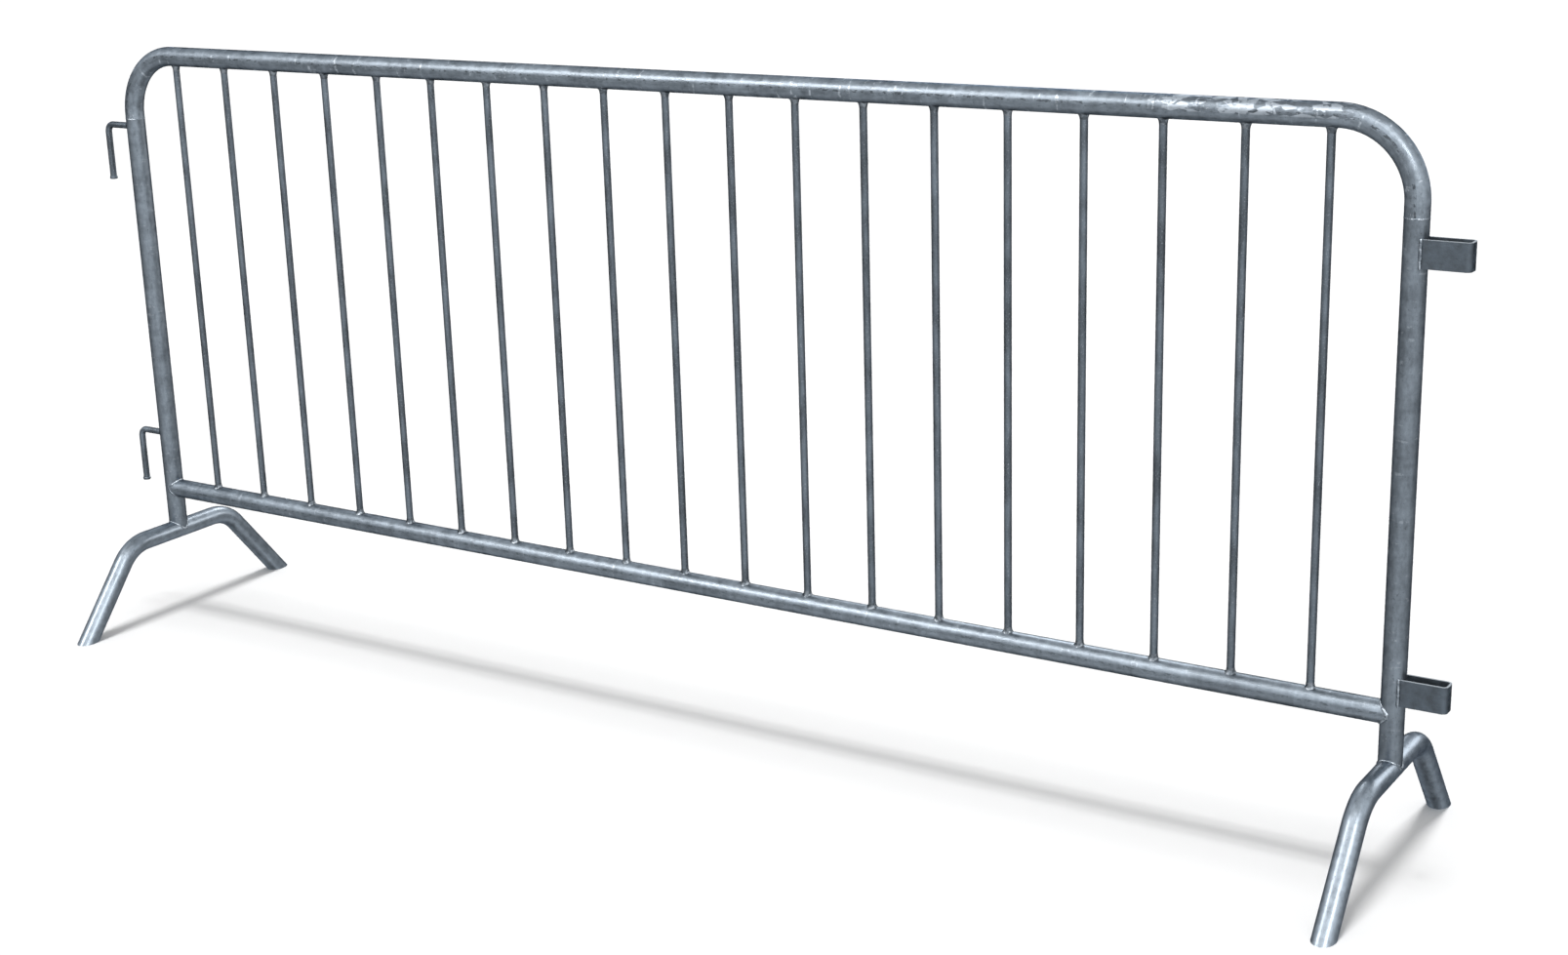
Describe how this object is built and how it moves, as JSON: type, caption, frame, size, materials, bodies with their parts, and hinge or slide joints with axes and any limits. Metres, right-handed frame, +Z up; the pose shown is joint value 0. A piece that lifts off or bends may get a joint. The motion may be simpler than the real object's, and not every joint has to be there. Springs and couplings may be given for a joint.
{
  "type": "crowd control barrier",
  "caption": "Free-standing steel crowd barrier panel with upright bars, two fixed bridge feet, and hooks and loops that link it to the next barrier.",
  "frame": {"origin": "on the ground, midway between the axes of the two end posts", "axes": "+Z up, +X along the panel from the hooks to the loops, front of the panel faces -Y"},
  "size_m": [2.6032, 0.5522, 1.1],
  "materials": {
    "galvanised_tube": "hot-dip galvanised, mottled satin",
    "galvanised_rod": "hot-dip galvanised, dull",
    "galvanised_strip": "hot-dip galvanised, dull and even",
    "galvanised_weld": "weld bead under zinc, rough"
  },
  "bodies": {
    "root": {"top_rail": "galvanised_tube", "bottom_rail": "galvanised_tube", "left_post": "galvanised_tube", "right_post": "galvanised_tube", "left_foot": "galvanised_tube", "right_foot": "galvanised_tube", "upper_hook": "galvanised_rod", "lower_hook": "galvanised_rod", "infill_bar_01": "galvanised_rod", "infill_bar_02": "galvanised_rod", "infill_bar_03": "galvanised_rod", "infill_bar_04": "galvanised_rod", "infill_bar_05": "galvanised_rod", "infill_bar_06": "galvanised_rod", "infill_bar_07": "galvanised_rod", "infill_bar_08": "galvanised_rod", "infill_bar_09": "galvanised_rod", "infill_bar_10": "galvanised_rod", "infill_bar_11": "galvanised_rod", "infill_bar_12": "galvanised_rod", "infill_bar_13": "galvanised_rod", "infill_bar_14": "galvanised_rod", "infill_bar_15": "galvanised_rod", "infill_bar_16": "galvanised_rod", "infill_bar_17": "galvanised_rod", "infill_bar_18": "galvanised_rod", "infill_bar_19": "galvanised_rod", "upper_loop": "galvanised_strip", "lower_loop": "galvanised_strip", "left_top_rail_weld": "galvanised_weld", "right_top_rail_weld": "galvanised_weld", "left_bottom_rail_weld": "galvanised_weld", "right_bottom_rail_weld": "galvanised_weld", "left_foot_weld": "galvanised_weld", "right_foot_weld": "galvanised_weld", "upper_hook_weld": "galvanised_weld", "lower_hook_weld": "galvanised_weld", "upper_loop_welds": "galvanised_weld", "lower_loop_welds": "galvanised_weld", "infill_bottom_welds": "galvanised_weld", "infill_top_welds": "galvanised_weld"}
  },
  "joints": []
}
